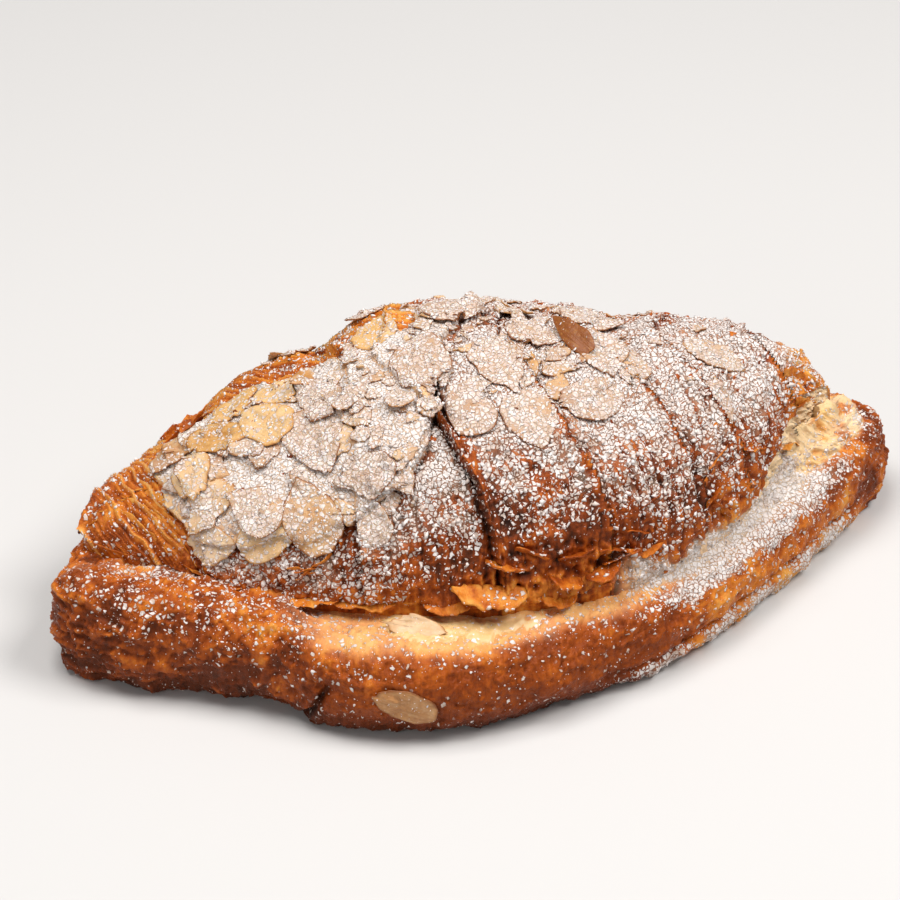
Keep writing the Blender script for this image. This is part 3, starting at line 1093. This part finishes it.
def crumbs(sources, material):
    """Crumbs of baked pastry that lie on the sugared top."""
    rng = np.random.default_rng(SEED + 5)
    place, normal = all_places(sources, CRUMB_DENSITY, CRUMB_POWER, rng)
    some = rng.choice(len(place), CRUMBS, replace=False)
    obj = scatter(
        "pastry_crumbs", place[some], normal[some], rng, flake_shapes, FLAKE_FACES, CRUMB_RADIUS, material
    )
    mesh = obj.data
    points = read(mesh.vertices, "co", 3, float) / MM
    bake = np.repeat(rng.uniform(0.45, 0.8, CRUMBS), len(points) // CRUMBS)
    mesh.attributes.remove(mesh.attributes["pale"])
    for field, values in looks(bake, bake * 0.2, bake * 0, points[:, 0], points[:, 2]).items():
        add_field(mesh, field, values)


# ---------------------------------------------------------------- materials

CRUST_RAMP = [
    (0.00, (0.80, 0.50, 0.18)), (0.20, (0.74, 0.33, 0.060)), (0.38, (0.62, 0.185, 0.018)),
    (0.55, (0.40, 0.082, 0.006)), (0.72, (0.20, 0.034, 0.003)), (0.88, (0.085, 0.016, 0.002)),
    (1.00, (0.03, 0.008, 0.003)),
]
CREAM_RAMP = [
    (0.0, (0.76, 0.51, 0.23)), (0.35, (0.68, 0.41, 0.12)),
    (0.7, (0.58, 0.29, 0.06)), (1.0, (0.30, 0.10, 0.02)),
]
ALMOND_RAMP = [
    (0.0, (0.72, 0.53, 0.34)), (0.35, (0.62, 0.40, 0.22)),
    (0.65, (0.46, 0.22, 0.08)), (1.0, (0.24, 0.08, 0.02)),
]
YELLOW_ALMOND_RAMP = [
    (0.0, (0.74, 0.49, 0.23)), (0.35, (0.68, 0.40, 0.14)),
    (0.65, (0.52, 0.24, 0.05)), (1.0, (0.24, 0.07, 0.012)),
]
LID_CRUMB, RIM_CRUMB, PALE_CREAM = (0.88, 0.66, 0.41, 1), (0.86, 0.66, 0.42, 1), (0.74, 0.54, 0.30, 1)
# Icing sugar where it lies thick, where it lies thin, and as the dust between its scales
SUGAR_COLOUR, SUGAR_THIN = (0.82, 0.77, 0.745, 1), (0.58, 0.44, 0.36, 1)
ALMOND_SUGAR, ALMOND_SUGAR_THIN = (0.75, 0.685, 0.65, 1), (0.60, 0.45, 0.36, 1)
CLUMP_COLOUR, CLUMP_SHADE = (0.84, 0.79, 0.765, 1), (0.68, 0.55, 0.48, 1)
SUGAR_VEIL = (0.46, 0.30, 0.20, 1)
POWDER_ON_PALE, POWDER_ON_ALMOND = (0.74, 0.62, 0.53, 1), (0.54, 0.40, 0.31, 1)
SUGAR_ROUGHNESS, SUGAR_SCALE = 0.85, 0.00095
LIGHT_REACH = (0.0015, 0.0009, 0.0004)  # how far light goes under the surface
FLOOR_COLOUR = (0.62, 0.61, 0.60, 1)


class Nodes:
    """A short way to build one material's node tree."""

    def __init__(self, name):
        self.material = bpy.data.materials.new(name)
        self.material.use_nodes = True
        self.tree = self.material.node_tree
        self.shader = self.tree.nodes["Principled BSDF"]
        self.place = self.add("ShaderNodeTexCoord", {}).outputs["Object"]

    def plug(self, node, inputs):
        """Link or set each input, by name or number."""
        for key, value in inputs.items():
            if isinstance(value, bpy.types.NodeSocket):
                self.tree.links.new(value, node.inputs[key])
            else:
                node.inputs[key].default_value = value

    def add(self, kind, inputs, **settings):
        node = self.tree.nodes.new(kind)
        for name, value in settings.items():
            setattr(node, name, value)
        self.plug(node, inputs)
        return node

    def surface(self, inputs):
        self.plug(self.shader, inputs)
        return self.material

    def math(self, operation, first, second, clamp=False):
        inputs = {0: first, 1: second}
        return self.add("ShaderNodeMath", inputs, operation=operation, use_clamp=clamp).outputs[0]

    def shaken(self, value, noise, strength, clamp=False):
        """The value with noise about zero added."""
        push = self.math("MULTIPLY", self.math("SUBTRACT", noise, 0.5), strength)
        return self.math("ADD", value, push, clamp)

    def field(self, name):
        return self.add("ShaderNodeAttribute", {}, attribute_name=name).outputs["Fac"]

    def noise(self, size, detail=2.0, rough=0.5, place=None, output="Fac"):
        vector = self.place if place is None else place
        inputs = {"Vector": vector, "Scale": 1 / size, "Detail": detail, "Roughness": rough}
        return self.add("ShaderNodeTexNoise", inputs).outputs[output]

    def warped(self, size, reach):
        """The place, pushed about by noise."""
        inputs = {0: self.noise(size, 1.0, output="Color"), 1: (2 * reach,) * 3, 2: self.place}
        return self.add("ShaderNodeVectorMath", inputs, operation="MULTIPLY_ADD").outputs[0]

    def stretched(self, across, along):
        """A place whose first axis runs across the wraps or along the rim, scaled to unit bumps."""
        fields = (("across", across), ("along", along))
        inputs = {k: self.math("DIVIDE", self.field(name), size) for k, (name, size) in enumerate(fields)}
        return self.add("ShaderNodeCombineXYZ", inputs).outputs[0]

    def cells(self, size, place, feature="F1"):
        return self.add("ShaderNodeTexVoronoi", {"Vector": place, "Scale": 1 / size}, feature=feature).outputs

    def between(self, value, low, high, to_low=0.0, to_high=1.0):
        inputs = dict(enumerate((value, low, high, to_low, to_high)))
        return self.add("ShaderNodeMapRange", inputs, interpolation_type="SMOOTHSTEP").outputs[0]

    def mix(self, share, first, second):
        return self.add("ShaderNodeMix", {0: share, 6: first, 7: second}, data_type="RGBA").outputs[2]

    def ramp(self, value, stops):
        node = self.add("ShaderNodeValToRGB", {0: value})
        elements = node.color_ramp.elements
        while len(elements) < len(stops):
            elements.new(0.5)
        for element, (place, colour) in zip(elements, stops):
            element.position = place
            element.color = (*colour, 1)
        return node.outputs[0]

    def bump(self, height, distance, strength, under=None):
        inputs = {"Strength": strength, "Distance": distance, "Height": height}
        return self.add("ShaderNodeBump", inputs if under is None else {**inputs, "Normal": under}).outputs[0]


def sugar_mask(n, amount):
    """White where icing sugar lies: ragged scales about a millimetre wide with the crust between them."""
    place = n.warped(0.0011, 0.00035)
    edge = n.cells(SUGAR_SCALE, place, "DISTANCE_TO_EDGE")["Distance"]
    pick = n.add("ShaderNodeSeparateColor", {0: n.cells(SUGAR_SCALE, place)["Color"]}).outputs[0]
    cluster = n.math("MULTIPLY", n.math("SUBTRACT", n.noise(0.0035), 0.5), 0.7)
    amount = n.math("ADD", amount, n.math("MULTIPLY", cluster, n.between(amount, 0.02, 0.3)))
    ragged = n.shaken(edge, n.noise(0.0004), 0.22)
    rim = n.math("SUBTRACT", 0.20, n.math("MULTIPLY", amount, 0.14))
    inside = n.between(n.math("SUBTRACT", ragged, rim), -0.03, 0.05)
    chosen = n.between(n.math("SUBTRACT", n.math("MULTIPLY", amount, 1.08), pick), -0.02, 0.03)
    return n.math("MULTIPLY", inside, chosen)


def crust_material(name, roughness, crumb, gloss, fibre, mottle):
    """Baked pastry under icing sugar. fibre is the width and length of its streaks, mottle the noise."""
    n = Nodes(name)
    lines = n.noise(1.0, 3.0, 0.6, n.stretched(*fibre))
    bake = n.shaken(n.field("bake"), n.noise(0.0011, 3.0, 0.6), 0.42 * mottle)
    bake = n.shaken(bake, n.noise(0.0032, 3.0, 0.6), 0.30 * mottle)
    bake = n.shaken(bake, lines, 0.40 * mottle, clamp=True)
    amount, pale = n.field("sugar"), n.field("pale")
    colour = n.mix(n.math("MULTIPLY", pale, 0.92), n.ramp(bake, CRUST_RAMP), crumb)
    colour = n.mix(n.between(amount, 0.50, 1.05, 0.0, 0.60), colour, n.mix(pale, SUGAR_VEIL, POWDER_ON_PALE))
    white = sugar_mask(n, amount)
    thin = n.math("MULTIPLY", n.between(n.noise(0.0016), 0.35, 0.65), n.between(amount, 0.8, 1.0, 1.0, 0.3))
    under = n.bump(lines, 0.0005, 0.6, n.bump(n.noise(0.0007, 4.0, 0.65), 0.0005, 0.7))
    return n.surface({
        "Base Color": n.mix(white, colour, n.mix(thin, SUGAR_COLOUR, SUGAR_THIN)),
        "Roughness": n.between(white, 0.0, 1.0, roughness, SUGAR_ROUGHNESS),
        "Normal": n.bump(white, 0.00025, 0.9, under),
        "Specular IOR Level": gloss,
    })


def cream_material():
    n = Nodes("almond_cream_looks")
    pale = n.field("pale")
    colour = n.ramp(n.shaken(n.field("bake"), n.noise(0.0012, 3.0), 0.35), CREAM_RAMP)
    colour = n.mix(n.math("MULTIPLY", pale, 0.5), colour, PALE_CREAM)
    return n.surface({
        "Base Color": n.mix(sugar_mask(n, n.field("sugar")), colour, SUGAR_COLOUR),
        "Roughness": n.between(pale, 0.0, 1.0, 0.28, 0.6),
        "Normal": n.bump(n.noise(0.0009, 3.0), 0.0004, 0.7),
        "Specular IOR Level": 0.5,
        "Subsurface Weight": 0.15,
        "Subsurface Radius": LIGHT_REACH,
    })


def almond_material():
    n = Nodes("sliced_almond_looks")
    veins = n.noise(1.0, 3.0, 0.6, n.stretched(0.0006, 0.005))
    bake = n.shaken(n.field("bake"), n.noise(0.0009, 3.0), 0.40)
    bake = n.shaken(bake, veins, 0.45, clamp=True)
    amount = n.field("sugar")
    colour = n.mix(n.field("pale"), n.ramp(bake, ALMOND_RAMP), n.ramp(bake, YELLOW_ALMOND_RAMP))
    colour = n.mix(n.between(amount, 0.4, 1.0, 0.0, 0.7), colour, POWDER_ON_ALMOND)
    white = sugar_mask(n, amount)
    tone = n.mix(n.between(n.noise(0.0016), 0.35, 0.65), ALMOND_SUGAR, ALMOND_SUGAR_THIN)
    under = n.bump(veins, 0.0003, 0.6, n.bump(n.noise(0.0007, 3.0), 0.0003, 0.6))
    return n.surface({
        "Base Color": n.mix(white, colour, tone),
        "Roughness": n.between(white, 0.0, 1.0, 0.45, SUGAR_ROUGHNESS),
        "Normal": n.bump(white, 0.00018, 0.9, under),
        "Specular IOR Level": 0.4,
        "Subsurface Weight": 0.2,
        "Subsurface Radius": LIGHT_REACH,
    })


def sugar_material():
    n = Nodes("icing_sugar_looks")
    colour = n.mix(n.math("POWER", n.field("pale"), 2.0), CLUMP_COLOUR, CLUMP_SHADE)
    return n.surface({"Base Color": colour, "Roughness": 0.6, "Specular IOR Level": 0.4})


# ---------------------------------------------------------------- stage

CAMERA_DISTANCE, FRAME_WIDTH = 0.65, 0.173
CAMERA_AZIMUTH, CAMERA_ELEVATION = math.radians(-15), math.radians(37)
LOOK_AT = Vector((0, 0, 0.020))
AIM_RIGHT, AIM_UP = -0.0076, 0.0099
# Soft lights: name, place, size and power
LIGHTS = [
    ("key", (-0.20, 0.00, 0.87), 0.45, 6.2),
    ("side", (0.42, -0.22, 0.76), 0.4, 5.9),
    ("fill", (-0.66, -0.46, 0.28), 0.5, 1.4),
]
LIGHT_COLOUR, SKY_COLOUR, SKY_STRENGTH = (1.0, 0.98, 0.96), (0.95, 0.97, 1.0, 1), 0.20
FLOOR_REACH = 3


def looking(way):
    """The turn of a camera or light that looks along way."""
    return way.to_track_quat("-Z", "Y")


def camera():
    a, e = CAMERA_AZIMUTH, CAMERA_ELEVATION
    back = Vector((math.sin(a) * math.cos(e), -math.cos(a) * math.cos(e), math.sin(e)))
    place = LOOK_AT + back * CAMERA_DISTANCE
    aim = LOOK_AT + looking(-back) @ Vector((AIM_RIGHT, AIM_UP, 0))
    made = placed("camera", bpy.data.cameras.new("camera"))
    made.location = place
    made.rotation_euler = looking(aim - place).to_euler()
    made.data.lens = made.data.sensor_width * CAMERA_DISTANCE / FRAME_WIDTH
    made.data.clip_start = 0.01
    bpy.context.scene.camera = made


def area_light(name, place, size, power):
    data = bpy.data.lights.new(name, "AREA")
    data.shape = "RECTANGLE"
    data.size = data.size_y = size
    data.energy = power
    data.color = LIGHT_COLOUR
    light = placed(name, data)
    light.location = place
    light.rotation_euler = looking(LOOK_AT - Vector(place)).to_euler()


def stage():
    corners = [(x * FLOOR_REACH, y * FLOOR_REACH, 0) for x, y in ((-1, -1), (1, -1), (1, 1), (-1, 1))]
    mesh = bpy.data.meshes.new("floor")
    mesh.from_pydata(corners, [], [(0, 1, 2, 3)])
    mesh.materials.append(Nodes("pale_floor").surface({"Base Color": FLOOR_COLOUR, "Roughness": 0.9}))
    floor = placed("floor", mesh)
    for light in LIGHTS:
        area_light(*light)
    world = bpy.data.worlds.new("studio")
    world.use_nodes = True
    background = world.node_tree.nodes["Background"]
    background.inputs["Color"].default_value = SKY_COLOUR
    background.inputs["Strength"].default_value = SKY_STRENGTH
    bpy.context.scene.world = world
    bpy.context.scene.view_settings.view_transform = "Standard"


def main():
    crust = crust_material("crust_looks", 0.38, LID_CRUMB, 0.2, (0.0009, 0.006), 0.9)
    rim_crust = crust_material("rim_crust_looks", 0.34, RIM_CRUMB, 0.16, (0.0010, 0.004), 0.50)
    almond = almond_material()
    icing = sugar_material()
    upper = upper_half(crust)
    lower = lower_half(rim_crust) + [almond_cream(cream_material())]
    trees = [(None, surface_tree(obj)) for obj in upper + lower]
    sheets = torn_sheets(crust)
    loose = loose_slices(trees, almond)
    slices = sliced_almonds(trees, almond)
    sugar(upper + [sheets], lower, slices + [loose], icing)
    crumbs(upper + [loose], crust)
    stage()
    camera()


main()
